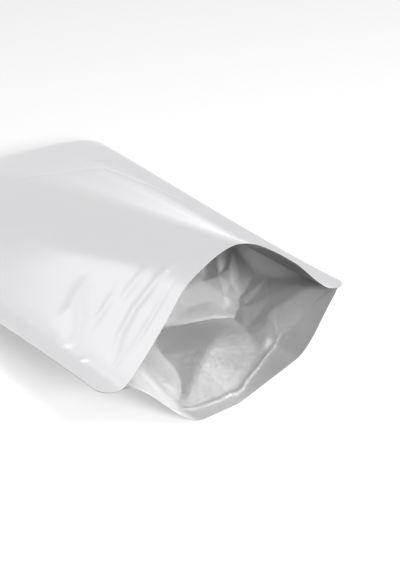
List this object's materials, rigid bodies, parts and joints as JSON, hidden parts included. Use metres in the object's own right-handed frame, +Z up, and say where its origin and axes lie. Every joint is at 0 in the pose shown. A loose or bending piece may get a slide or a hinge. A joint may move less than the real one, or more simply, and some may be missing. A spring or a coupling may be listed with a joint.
{
  "type": "foil stand-up pouch",
  "caption": "Plain foil stand-up pouch with a bottom gusset, empty, lying on its back with its mouth held open by the arch of its front panel.",
  "frame": {"origin": "middle of the footprint, on the surface that the pouch lies on", "axes": "+Y from the open mouth to the gusseted bottom end, +Z up out of the table, +X across the width to the right as seen from the mouth"},
  "size_m": [0.1588, 0.24, 0.0831],
  "materials": {
    "foil_laminate": "satin aluminium foil laminate under clear film"
  },
  "bodies": {
    "root": {"pouch": "foil_laminate"}
  },
  "joints": []
}
